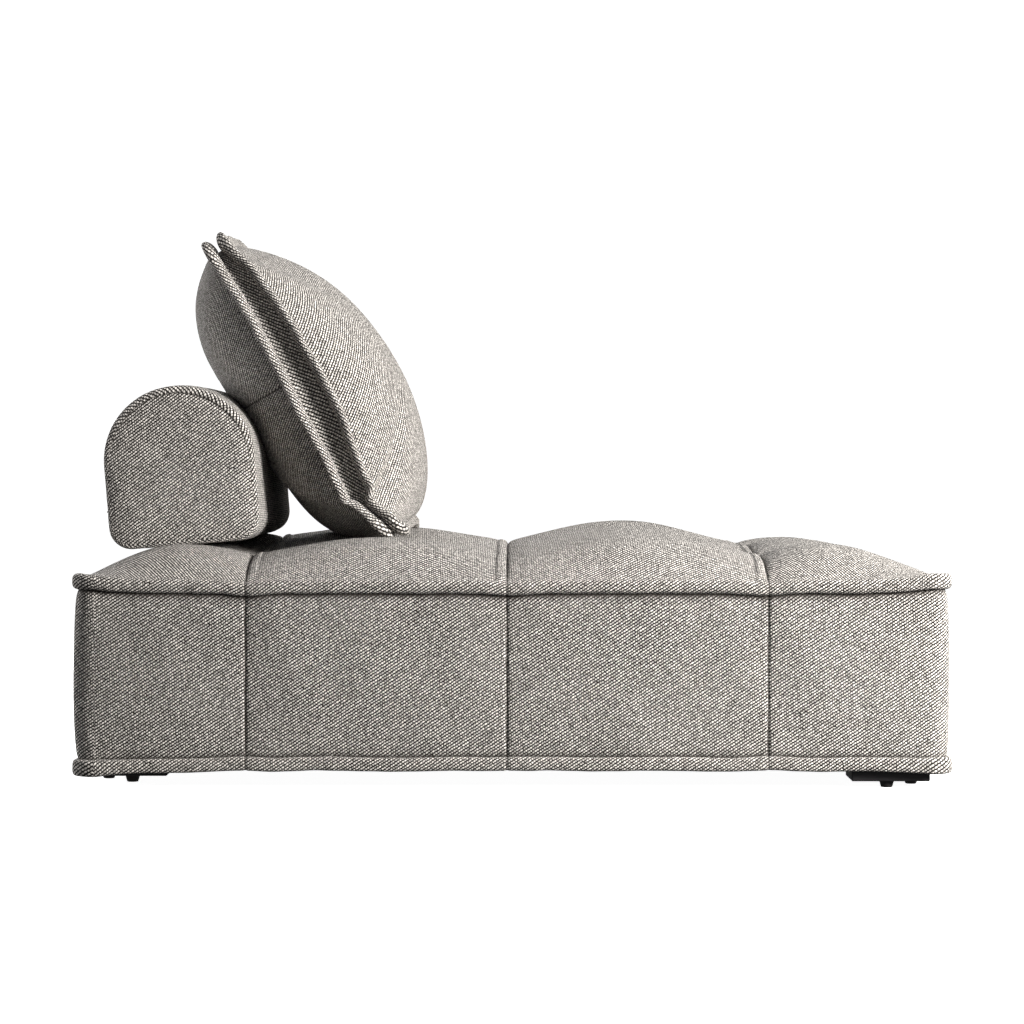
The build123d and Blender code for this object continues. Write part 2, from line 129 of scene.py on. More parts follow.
def round_corners(x, y, half_x, half_y, reach, cut):
    """Moves a rectangular grid's corners in by a share, starting at a reach from each corner."""
    flat_x, flat_y = half_x - reach, half_y - reach
    near_x = np.maximum(np.abs(x) - flat_x, 0) / reach
    near_y = np.maximum(np.abs(y) - flat_y, 0) / reach
    most = np.maximum(near_x, near_y)
    shrink = 1 - (1 - most / np.maximum(np.hypot(near_x, near_y), 1e-9)) * cut
    moved_x = np.where(near_x > 0, np.sign(x) * (flat_x + reach * near_x * shrink), x)
    moved_y = np.where(near_y > 0, np.sign(y) * (flat_y + reach * near_y * shrink), y)
    return moved_x, moved_y


def arc(points):
    """Distance run along a line of points, starting at 0."""
    steps = np.linalg.norm(np.diff(points, axis=0), axis=1)
    return np.concatenate([[0], np.cumsum(steps)])


def cloth(name, points, uv, body, nodes, closed=False, painted_shade=None, flip=False):
    """A grid of points in millimetres as a piece of fabric.

    Its UVs are its own flat size in metres, which lays the weave at the right scale. The mask of
    painted shade, from 0 to 1, darkens the fabric where shade falls in seams, creases and under
    flanges. closed joins the grid's last row to its first.
    """
    rows, across = points.shape[:2]
    index = np.arange(rows * across).reshape(rows, across)
    if closed:
        index = np.vstack([index, index[:1]])
    uv_index = np.arange(index.size).reshape(index.shape)
    quads = np.stack([index[:-1, :-1], index[1:, :-1], index[1:, 1:], index[:-1, 1:]], -1)
    uv_quads = np.stack(
        [uv_index[:-1, :-1], uv_index[1:, :-1], uv_index[1:, 1:], uv_index[:-1, 1:]], -1
    )
    if flip:
        quads, uv_quads = quads[..., ::-1], uv_quads[..., ::-1]
    mesh = bpy.data.meshes.new(name)
    mesh.from_pydata((points.reshape(-1, 3) * MM).tolist(), [], quads.reshape(-1, 4).tolist())
    layer = mesh.uv_layers.new(name="weave")
    flat = uv.reshape(-1, 2)[uv_quads.reshape(-1)]
    layer.data.foreach_set("uv", flat.ravel().astype(np.float32))
    shade = mesh.attributes.new("painted_shade", "FLOAT", "POINT")
    values = np.zeros(rows * across) if painted_shade is None else np.clip(painted_shade, 0, 1).ravel()
    shade.data.foreach_set("value", values.astype(np.float32))
    mesh.polygons.foreach_set("use_smooth", [True] * len(mesh.polygons))
    mesh.update()
    piece = bpy.data.objects.new(name, mesh)
    bpy.context.collection.objects.link(piece)
    mesh.materials.append(fabric)
    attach(piece, body)
    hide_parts(*nodes)
    return piece


# ---------------------------------------------------------------- materials


class Nodes:
    """Short calls that add shader nodes to a material."""

    def __init__(self, name):
        self.material = bpy.data.materials.new(name)
        self.material.use_nodes = True
        self.tree = self.material.node_tree
        self.tree.nodes.clear()
        self.shader = self.tree.nodes.new("ShaderNodeBsdfPrincipled")
        output = self.tree.nodes.new("ShaderNodeOutputMaterial")
        self.tree.links.new(self.shader.outputs[0], output.inputs["Surface"])

    def put(self, socket, value):
        if isinstance(value, bpy.types.NodeSocket):
            self.tree.links.new(value, socket)
        else:
            socket.default_value = value

    def node(self, kind, output=0, inputs=(), **settings):
        made = self.tree.nodes.new(kind)
        for key, value in settings.items():
            setattr(made, key, value)
        for key, value in inputs:
            self.put(made.inputs[key], value)
        return made.outputs[output]

    def math(self, operation, *values):
        return self.node("ShaderNodeMath", inputs=enumerate(values), operation=operation)

    def combine(self, x, y, z=0.0):
        return self.node("ShaderNodeCombineXYZ", inputs=enumerate((x, y, z)))

    def noise(self, vector, scale, detail=2.0):
        inputs = (("Vector", vector), ("Scale", scale), ("Detail", detail))
        return self.node("ShaderNodeTexNoise", inputs=inputs)

    def mix(self, factor, first, second):
        inputs = ((0, factor), (6, first), (7, second))
        return self.node("ShaderNodeMix", 2, inputs, data_type="RGBA")

    def band(self, value, low, high):
        inputs = (("Value", value), ("From Min", low), ("From Max", high))
        return self.node("ShaderNodeMapRange", inputs=inputs, interpolation_type="SMOOTHSTEP")


RIB = 0.0047  # from rib to rib, in metres
FLOAT_LONG = 0.0046  # the length of one float of yarn
RIB_ANGLE = math.radians(33.0)
YARN = (0.98, 0.925, 0.87)
GROUND = (0.008, 0.006, 0.005)
# The near-black of the painted shade in seams, creases and under flanges
PAINTED_SHADE_COLOUR = (0.02, 0.016, 0.013)


def twill(name):
    """A coarse twill of light yarn floats over a dark ground, on the cloth's own flat size."""
    n = Nodes(name)
    uv = n.node("ShaderNodeUVMap", uv_map="weave")
    split = n.tree.nodes.new("ShaderNodeSeparateXYZ")
    n.put(split.inputs[0], uv)
    u, v = split.outputs[0], split.outputs[1]
    cosine, sine = math.cos(RIB_ANGLE), math.sin(RIB_ANGLE)
    along = n.math("ADD", n.math("MULTIPLY", u, cosine), n.math("MULTIPLY", v, sine))
    across = n.math("SUBTRACT", n.math("MULTIPLY", v, cosine), n.math("MULTIPLY", u, sine))
    # Ribs wander and floats slip, so that neither lines up like a print
    wander = n.math("MULTIPLY", n.math("SUBTRACT", n.noise(uv, 90.0), 0.5), 0.0027)
    across = n.math("DIVIDE", n.math("ADD", across, wander), RIB)
    row, in_row = n.math("FLOOR", across), n.math("FRACT", across)
    slip = n.math("MULTIPLY", n.noise(uv, 210.0, 1.0), 1.1)
    along = n.math("ADD", n.math("DIVIDE", along, FLOAT_LONG), n.math("MULTIPLY", row, 0.38))
    along = n.math("ADD", along, slip)
    stitch, in_stitch = n.math("FLOOR", along), n.math("FRACT", along)
    rib_height = n.math("SINE", n.math("MULTIPLY", in_row, math.pi))
    float_height = n.math("POWER", n.math("SINE", n.math("MULTIPLY", in_stitch, math.pi)), 0.5)
    raised = n.math("ADD", 0.12, n.math("MULTIPLY", float_height, 0.88))
    height = n.math("MULTIPLY", rib_height, raised)
    # Each float has its own shade, and frays
    chance = n.node("ShaderNodeTexWhiteNoise", inputs=(("Vector", n.combine(row, stitch)),))
    pale = n.math("ADD", 0.48, n.math("MULTIPLY", chance, 0.52))
    frayed = n.math("ADD", 0.62, n.math("MULTIPLY", n.noise(uv, 340.0, 1.0), 0.76))
    fleck = n.math("MULTIPLY", n.band(height, 0.42, 0.86), n.math("MULTIPLY", pale, frayed))
    colour = n.mix(fleck, (*GROUND, 1), (*YARN, 1))
    cloud = n.math("MULTIPLY", n.band(n.noise(uv, 5.0, 3.0), 0.3, 0.75), 0.05)
    colour = n.mix(cloud, colour, (*[0.7 * c for c in YARN], 1))
    # Painted shade: a mask on the mesh darkens the cloth towards that near-black in seams, creases
    # and under flanges
    painted_shade = n.node("ShaderNodeAttribute", 2, attribute_name="painted_shade")
    n.put(n.shader.inputs["Base Color"], n.mix(painted_shade, colour, (*PAINTED_SHADE_COLOUR, 1)))
    n.put(n.shader.inputs["Roughness"], 0.92)
    n.put(n.shader.inputs["Specular IOR Level"], 0.2)
    n.put(n.shader.inputs["Sheen Weight"], 0.06)
    n.put(n.shader.inputs["Sheen Roughness"], 0.5)
    relief = n.math("ADD", height, n.math("MULTIPLY", n.noise(uv, 1400.0, 1.0), 0.5))
    bump = (("Strength", 0.9), ("Distance", 0.0012), ("Height", relief))
    n.put(n.shader.inputs["Normal"], n.node("ShaderNodeBump", inputs=bump))
    return n.material


def plain(name, colour, roughness, metallic=0.0, grain=0.0, grain_scale=400.0):
    """A plain surface with a little procedural mottling."""
    n = Nodes(name)
    place = n.node("ShaderNodeTexCoord", 3)
    mottle = n.band(n.noise(place, grain_scale, 3.0), 0.3, 0.7)
    darker = tuple(c * (1 - grain) for c in colour)
    n.put(n.shader.inputs["Base Color"], n.mix(mottle, (*darker, 1), (*colour, 1)))
    rough = n.math("ADD", roughness - 0.06, n.math("MULTIPLY", mottle, 0.12))
    n.put(n.shader.inputs["Roughness"], rough)
    n.put(n.shader.inputs["Metallic"], metallic)
    return n.material


fabric = twill("upholstery_twill")
MATERIALS = {
    "upholstery": fabric,
    "foam": plain("foam", (0.78, 0.72, 0.52), 0.95, grain=0.15),
    "fibre_fill": plain("fibre_fill", (0.85, 0.85, 0.82), 0.95, grain=0.08),
    "webbing": plain("webbing", (0.05, 0.045, 0.04), 0.8, grain=0.4),
    "dust_cloth": plain("dust_cloth", (0.012, 0.012, 0.012), 0.95, grain=0.3),
    "timber": plain("timber", (0.45, 0.30, 0.16), 0.6, grain=0.25, grain_scale=40.0),
    "foot_lacquer": plain("foot_lacquer", (0.018, 0.016, 0.018), 0.42, grain=0.2),
    "glide_plastic": plain("glide_plastic", (0.02, 0.018, 0.018), 0.5, grain=0.15),
    "screw_steel": plain("screw_steel", (0.55, 0.55, 0.52), 0.35, metallic=1.0, grain=0.1),
    "ballast_steel": plain("ballast_steel", (0.09, 0.09, 0.095), 0.5, grain=0.2),
    "zip_tape": plain("zip_tape", (0.16, 0.14, 0.12), 0.85, grain=0.3),
    "slider_metal": plain("slider_metal", (0.13, 0.12, 0.11), 0.4, grain=0.2),
}
slots = {part["node"]: part["material_slot"] for part in frame["record"]["subparts"]}
for name, node in frame["nodes"].items():
    node.data.materials.clear()
    node.data.materials.append(MATERIALS[slots[name]])

# ---------------------------------------------------------------- platform outline


NO_SEAM = 999.0  # distance given to stations on a corner, which has no seam


def outline(step=9.0):
    """Stations round the platform.

    Of each: its place, the outward direction, the distance run, the signed distance to the
    nearest seam, and the distance to the nearest corner, which is negative round the corner.
    """
    reach_x, reach_y = HALF_X - PLAN_CORNER, HALF_Y - PLAN_CORNER
    sides = (
        ((0, -1), (1, 0), HALF_Y, reach_x, COLUMNS[1:-1]),
        ((1, 0), (0, 1), HALF_X, reach_y, ROWS[1:-1]),
        ((0, 1), (-1, 0), HALF_Y, reach_x, -COLUMNS[1:-1][::-1]),
        ((-1, 0), (0, -1), HALF_X, reach_y, ROWS[1:-1]),
    )
    place, outward, seam, turn = [], [], [], []
    for (nx, ny), (dx, dy), out, reach, seams in sides:
        lines = np.concatenate([[-reach], seams, [reach]])
        for low, high in zip(lines[:-1], lines[1:]):
            for at in stations(low, high, step)[:-1]:
                place.append((nx * out + dx * at, ny * out + dy * at))
                outward.append((nx, ny))
                gaps = at - seams
                seam.append(gaps[np.argmin(np.abs(gaps))])
                turn.append(min(reach - at, at + reach))
        middle = (nx * (out - PLAN_CORNER) + dx * reach, ny * (out - PLAN_CORNER) + dy * reach)
        for angle in np.linspace(0, math.pi / 2, 9)[:-1]:
            ox = nx * math.cos(angle) + dx * math.sin(angle)
            oy = ny * math.cos(angle) + dy * math.sin(angle)
            place.append((middle[0] + PLAN_CORNER * ox, middle[1] + PLAN_CORNER * oy))
            outward.append((ox, oy))
            seam.append(NO_SEAM)
            turn.append(-PLAN_CORNER * (angle if ny else math.pi / 2 - angle))
    place, outward = np.array(place), np.array(outward)
    run = arc(np.vstack([place, place[:1]]))
    return place, outward, run, np.array(seam), np.array(turn)


place, outward, run, seam, turn = outline()
loop, round_platform = run[:-1], run[-1]
from_corner = np.maximum(turn, 0)
at_corner = np.exp(-from_corner / 45.0)
seam_dip = hill(seam, 32.0)
flange_z = FLANGE_MID - 1.5 + 8.0 * at_corner - 4.5 * seam_dip
flange_z += 1.2 * ripple(loop, 90, 420, round_trip=round_platform)
hem_z = HEM_MID - 1.5 + 1.5 * seam_dip + 1.4 * ripple(loop, 120, 500, round_trip=round_platform)
hem_z -= np.where(place[:, 0] < 0, 7.5, 3.0) * np.exp(-from_corner / 110.0)


def side_wall():
    """The side covers: panels that bulge a little between their seams."""
    levels = np.concatenate([[36, 36, 37], np.arange(40, 64, 4), np.linspace(66, 318, 26)])
    levels = np.concatenate([levels, np.arange(321, 346, 2.4)])
    turned_under = np.concatenate([[-14, -6, -1.5], np.zeros(len(levels) - 3)])
    share = np.clip((levels - 50) / (338 - 50), 0, 1)
    bulge = 3.2 * (1 - hill(np.abs(seam), 45.0, 0.8))
    off = bulge[:, None] * np.sin(np.pi * share)[None] ** 0.6 + turned_under[None]
    # The ends of the platform bulge, and its long sides draw in to the corners
    low_belly = np.sin(np.pi * np.clip((levels - 40) / 300, 0, 1)) ** 0.8
    end_face = outward[:, 0] ** 2
    by_corner = np.where(place[:, 0] < 0, 4.0, 1.5) * np.exp(-from_corner / 70.0) * end_face
    by_corner -= 5.0 * np.exp(-turn / 45.0) * (1 - end_face)
    # Drawn in under the flange and over the hem, and at each seam, with a ridge beside it
    near_top = np.exp(-np.maximum(340 - levels, 0) / 9.0)
    near_hem = np.exp(-np.maximum(levels - 52, 0) / 9.0)
    off += 2.8 - 3.6 * near_top[None] - 2.0 * near_hem[None] + by_corner[:, None] * low_belly[None]
    groove = hill(seam, 2.2) * 2.2 + np.exp(-np.abs(seam) / 16.0) * 1.6
    ridge = 0.9 * hill(seam + 7.5, 4.0)
    off += (ridge - groove)[:, None]
    # Puckers from the flange, the hem and the seams
    top_puckers = puckered(loop, round_platform)
    hem_puckers = puckered(loop, round_platform)
    off += 0.9 * top_puckers[:, None] * np.exp(-np.maximum(338 - levels, 0) / 28.0)[None]
    off += 0.8 * hem_puckers[:, None] * np.exp(-np.maximum(levels - 54, 0) / 24.0)[None]
    seam_puckers = ripple(levels, 20, 48) * patches(levels)
    beside_seam = np.exp(-np.abs(seam) / 18.0) * (1 - np.exp(-np.abs(seam) / 3.0))
    off += 0.8 * seam_puckers[None] * beside_seam[:, None]
    for _ in range(5):
        tilt = rng.uniform(-0.5, 0.5)
        off += 0.35 * ripple(loop[:, None] + tilt * levels[None], 90, 260, 2, round_platform)
    # A soft limit keeps the cloth outside the pads
    body = levels > 37.5
    off[:, body] = np.logaddexp(off[:, body] / 0.5, -1.2 / 0.5) * 0.5
    up = levels[None] + np.zeros_like(off)
    flat = place[:, None] + outward[:, None] * off[..., None]
    points = np.concatenate([flat, up[..., None]], -1)
    # Each panel is cut from its own stretch of cloth
    panel = np.cumsum(np.concatenate([[0], seam[1:] == 0]))
    shift = rng.uniform(0, 0.01, int(panel.max()) + 2)[panel.astype(int)]
    u = run[:, None] * MM + np.append(shift, shift[-1])[:, None]
    uv = np.stack(np.broadcast_arrays(u, levels[None] * MM), -1)
    # Painted shade: a dark line in each seam, a dark band under the top flange where its shadow
    # falls, and one just over the hem
    painted_shade = hill(seam, 1.6)[:, None] * np.ones_like(off) * 0.85
    under_flange = np.maximum((flange_z - 15.0)[:, None] - levels[None], 0)
    painted_shade = np.maximum(painted_shade, 0.97 * hill(under_flange, 6.0, 1.4))
    over_hem = np.maximum(levels[None] - (hem_z + 13.0)[:, None], 0)
    painted_shade = np.maximum(painted_shade, 0.85 * hill(over_hem, 4.5, 1.4))
    nodes = [f"side_cover_{side}" for side in ("front", "back", "head", "foot")]
    cloth("side_covers", points, uv, "platform", nodes, closed=True, painted_shade=painted_shade)


def swept(
    name, middle, out, side, profile, body, nodes, run_mm, swell, painted_shade=None, flip=False, slant=-1
):
    """A sewn flange: a rounded section swept along a closed line."""
    points = (
        middle[:, None]
        + out[:, None] * (profile[:, 0][None] * swell[:, None])[..., None]
        + side[:, None] * (profile[:, 1][None] * (0.5 + 0.5 * swell)[:, None])[..., None]
    )
    v = arc(np.column_stack([profile, np.zeros(len(profile))]))
    uv = np.stack(np.broadcast_arrays(run_mm[:, None] * MM, slant * v[None] * MM), -1)
    return cloth(name, points, uv, body, nodes, closed=True, painted_shade=painted_shade, flip=flip)


SECTION_POINTS = 17


def section(reach, thick, start, stop, back, square, count=SECTION_POINTS):
    """A flange's rounded section as (outwards, upwards) pairs, from above to below."""
    angle = np.radians(np.linspace(start, stop, count))
    out = np.sign(np.cos(angle)) * np.abs(np.cos(angle)) ** square
    up = np.sign(np.sin(angle)) * np.abs(np.sin(angle)) ** square
    return np.column_stack([back + (reach - back) * out, thick / 2 * up])


def platform_flanges():
    """The two flanges that run round the platform."""
    out = np.column_stack([outward, np.zeros(len(loop))])
    up = np.zeros_like(out)
    up[:, 2] = 1
    # Painted shade in the flanges where they dip at the seams
    shade = 0.75 * hill(seam, 1.7)[:, None] * np.ones(SECTION_POINTS)
    for name, level, reach, tall, square, ear in (
        ("top_flange", flange_z - 1, 9.5, 25.0, 0.72, 0.15),
        ("bottom_flange", hem_z, 8.5, 24.0, 0.5, 0.4),
    ):
        middle = np.column_stack([place, level])
        middle[:, :2] += outward * (0.8 * ripple(loop, 60, 240, round_trip=round_platform))[:, None]
        swell = 1 + 0.08 * ripple(loop, 40, 160, round_trip=round_platform) + ear * at_corner
        swell -= 0.18 * hill(seam, 3.0)
        profile = section(reach, tall, 112, -158, back=-1.0, square=square)
        swept(
            f"{name}_cloth", middle, out, up, profile, "platform", [name], run, swell, shade,
            flip=True,
        )


# ---------------------------------------------------------------- tufted top

# Heights above the floor, in millimetres
EDGE = FLANGE_MID + 11.5
CROSSING = 390.0  # where two seams cross
SEAM_X = {1: (393, 405, 411), 2: (395, 406, 400), 3: (393, 404, 396)}
SEAM_Y = (393, 402, 405, 395)
# By column from the head, and in it by row from the front
PEAKS = ((411, 414, 412), (424, 436, 429), (426, 437, 439), (412, 411, 405))


def top_height(x, y):
    """The tufted top's height without its seams' fine relief."""
    x, y = np.broadcast_arrays(np.asarray(x, float), np.asarray(y, float))
    col = np.clip(np.searchsorted(COLUMNS, x, side="right") - 1, 0, 3)
    row = np.clip(np.searchsorted(ROWS, y, side="right") - 1, 0, 2)
    s = np.clip((x - COLUMNS[col]) / (COLUMNS[col + 1] - COLUMNS[col]), 0, 1)
    t = np.clip((y - ROWS[row]) / (ROWS[row + 1] - ROWS[row]), 0, 1)
    post = np.full((5, 4), CROSSING)
    post[0] = post[-1] = EDGE
    post[:, 0] = post[:, -1] = EDGE
    across = np.full((5, 3), EDGE)
    for line, heights in SEAM_X.items():
        across[line] = heights
    along = np.full((4, 4), EDGE)
    along[:, 1] = along[:, 2] = SEAM_Y
    peak = np.array(PEAKS, float)
    s = np.where(col == 3, s**0.8, s)
    wave_s, wave_t = np.sin(np.pi * s) ** 1.05, np.sin(np.pi * t) ** 1.05
    z00, z10 = post[col, row], post[col + 1, row]
    z01, z11 = post[col, row + 1], post[col + 1, row + 1]
    low = z00 + (z10 - z00) * s + (along[col, row] - (z00 + z10) / 2) * wave_s
    high = z01 + (z11 - z01) * s + (along[col, row + 1] - (z01 + z11) / 2) * wave_s
    left = z00 + (z01 - z00) * t + (across[col, row] - (z00 + z01) / 2) * wave_t
    right = z10 + (z11 - z10) * t + (across[col + 1, row] - (z10 + z11) / 2) * wave_t
    plane = (1 - s) * ((1 - t) * z00 + t * z01) + s * ((1 - t) * z10 + t * z11)
    base = (1 - t) * low + t * high + (1 - s) * left + s * right - plane
    centre = (
        along[col, row] + along[col, row + 1] + across[col, row] + across[col + 1, row]
    ) / 2 - (z00 + z10 + z01 + z11) / 4
    power_s = np.where(col == 0, 1.04, 1.18)
    power_t = 1.18 + np.where(row == 0, 0.25 * (1 - t), 0) + np.where(row == 2, 0.25 * t, 0)
    rise = np.sin(np.pi * s) ** power_s * np.sin(np.pi * t) ** power_t
    return base + (peak[col, row] - centre) * rise


TOP_CORNER = 110.0  # how far from a corner the top's grid starts to round


def top_grid():
    """Stations of the top in both directions, close together at the seams."""
    xs = [stations(a, b, 8.0)[:-1] for a, b in zip(COLUMNS[:-1], COLUMNS[1:])]
    ys = [stations(a, b, 8.0)[:-1] for a, b in zip(ROWS[:-1], ROWS[1:])]
    return np.append(np.concatenate(xs), HALF_X), np.append(np.concatenate(ys), HALF_Y)


def tufted_top():
    """Four strips of cloth over the twelve pockets, pulled down by their seams."""
    xs, ys = top_grid()
    x, y = np.meshgrid(xs, ys, indexing="ij")
    z = top_height(x, y)
    painted_shade = np.zeros_like(z)
    lines = [(x - line, y) for line in COLUMNS[1:-1]] + [(y - line, x) for line in ROWS[1:-1]]
    for (gap, run_along), allowance in zip(lines, (1, -1, -1, 1, -1)):
        far = np.abs(gap)
        z -= 2.6 * hill(gap, 2.4) + 4.5 * np.exp(-far / 13.0)
        # The seam allowance lies as a low strip on one side of the seam
        strip = allowance * gap - 2.0 * ripple(run_along, 90, 240)
        z += 2.6 * hill(strip - 8.8, 7.6, 8) - 0.9 * hill(strip - 19.0, 2.6)
        # Painted shade along the step at the strip's outer edge
        painted_shade = np.maximum(painted_shade, 0.5 * hill(strip - 18.3, 1.4))
        for one_side in (gap < 0, gap >= 0):
            pull = ripple(run_along, 20, 58) * patches(run_along, 130)
            z += one_side * 1.7 * pull * np.exp(-far / 26.0) * (1 - np.exp(-far / 4.0))
        # Painted shade in the seam itself
        painted_shade = np.maximum(painted_shade, 0.9 * hill(gap, 1.5))
    for line_x in COLUMNS[1:-1]:
        for line_y in ROWS[1:-1]:
            away = np.hypot(x - line_x, y - line_y)
            angle = np.arctan2(y - line_y, x - line_x)
            folds = np.cos(7 * angle + rng.uniform(0, 6))
            folds = folds + 0.6 * np.cos(12 * angle + rng.uniform(0, 6))
            z += 1.6 * folds * np.exp(-away / 40.0) * (away / (away + 14.0))
            z -= 5.0 * hill(away, 16.0)
    from_end, from_side = HALF_X - np.abs(x), HALF_Y - np.abs(y)
    edge, by_end = np.minimum(from_end, from_side), from_end < from_side
    rim_puckers = ripple(np.where(by_end, y, x), 24, 70)
    z += 0.9 * rim_puckers * np.exp(-edge / 30.0) * (1 - np.exp(-edge / 8.0))
    for _ in range(4):
        heading = rng.uniform(0, math.pi)
        z += 0.5 * ripple(x * math.cos(heading) + y * math.sin(heading), 110, 320, 2)
    # The grid's corners move in to the platform's rounded ones
    px, py = round_corners(x, y, HALF_X, HALF_Y, TOP_CORNER, 0.11)
    # Its edge follows the flange, and the cloth beside it rises or sinks with it
    border = np.zeros_like(z, bool)
    border[0], border[-1], border[:, 0], border[:, -1] = True, True, True, True
    spots = np.column_stack([px[border], py[border]])
    nearest = np.argmin(((spots[:, None] - place[None]) ** 2).sum(-1), axis=1)
    lift = np.zeros_like(z)
    lift[border] = flange_z[nearest] + 9.0 - z[border]
    side_lift = np.where(
        by_end,
        np.where(x < 0, lift[0][None, :], lift[-1][None, :]),
        np.where(y < 0, lift[:, :1], lift[:, -1:]),
    )
    z += side_lift * np.exp(-edge / 22.0)
    points = np.stack([px, py, z], -1)
    cuts = np.searchsorted(xs, COLUMNS + 0.01) - 1
    cuts[0] = 0
    strips = []
    for name, first, last in zip(("head", "pillow", "seat", "foot"), cuts[:-1], cuts[1:]):
        pick = slice(first, last + 1)
        grain = (-y, x) if name in ("head", "foot") else (x, y)
        uv = np.stack(grain, -1)[pick] * MM
        nodes = [f"tufted_top_{name}"] + (["tuft_fill_pads"] if name == "seat" else [])
        strips.append(
            cloth(f"top_cloth_{name}", points[pick], uv, "platform", nodes, painted_shade=painted_shade[pick])
        )
    return strips


# ---------------------------------------------------------------- bolster

end_low, end_high = corners("bolster_end_front")
BOLSTER_R = 133.0  # of its round top
BOLSTER_X = end_low[0] + BOLSTER_R
BOLSTER_Z = end_high[2] - BOLSTER_R
BOLSTER_Y = corners("bolster_end_back")[1][1]
BOLSTER_TILT = math.radians(4.6)
BOLSTER_DROP = 147.0  # from the middle of its round top to its base
BOLSTER_ROUND = 40.0  # radius of its two lower edges


def bolster_loop(step=5.5):
    """The D-shaped section about its round top's centre: points and outward directions."""
    half = BOLSTER_R
    foot = BOLSTER_DROP - BOLSTER_ROUND
    inner = half - BOLSTER_ROUND
    points, out = [], []

    def bend(cx, cz, radius, first, last):
        for angle in np.linspace(first, last, max(3, int(radius * (last - first) / step)))[:-1]:
            direction = (math.cos(angle), math.sin(angle))
            points.append((cx + radius * direction[0], cz + radius * direction[1]))
            out.append(direction)

    def run_to(start, stop, direction, finer=1):
        count = int(np.hypot(stop[0] - start[0], stop[1] - start[1]) * finer / step)
        for share in np.linspace(0, 1, count)[:-1]:
            points.append(tuple(np.array(start) * (1 - share) + np.array(stop) * share))
            out.append(direction)

    bend(0, 0, half, 0, math.pi)
    run_to((-half, 0), (-half, -foot), (-1, 0), finer=3)
    bend(-inner, -foot, BOLSTER_ROUND, math.pi, 1.5 * math.pi)
    run_to((-inner, -BOLSTER_DROP), (inner, -BOLSTER_DROP), (0, -1))
    bend(inner, -foot, BOLSTER_ROUND, 1.5 * math.pi, 2 * math.pi)
    run_to((half, -foot), (half, 0), (1, 0))
    return np.array(points), np.array(out)


def bolster_swell(y):
    """How much fatter the bolster is than at its ends."""
    return 4.0 * (1 - np.clip(np.abs(y) / BOLSTER_Y, 0, 1) ** 3)


def bolster_world(flat, y):
    """From the section's own axes to the row's."""
    c, s = math.cos(BOLSTER_TILT), math.sin(BOLSTER_TILT)
    x = BOLSTER_X + flat[..., 0] * c - flat[..., 1] * s
    z = BOLSTER_Z + flat[..., 0] * s + flat[..., 1] * c
    return np.stack([x, y, z], -1)


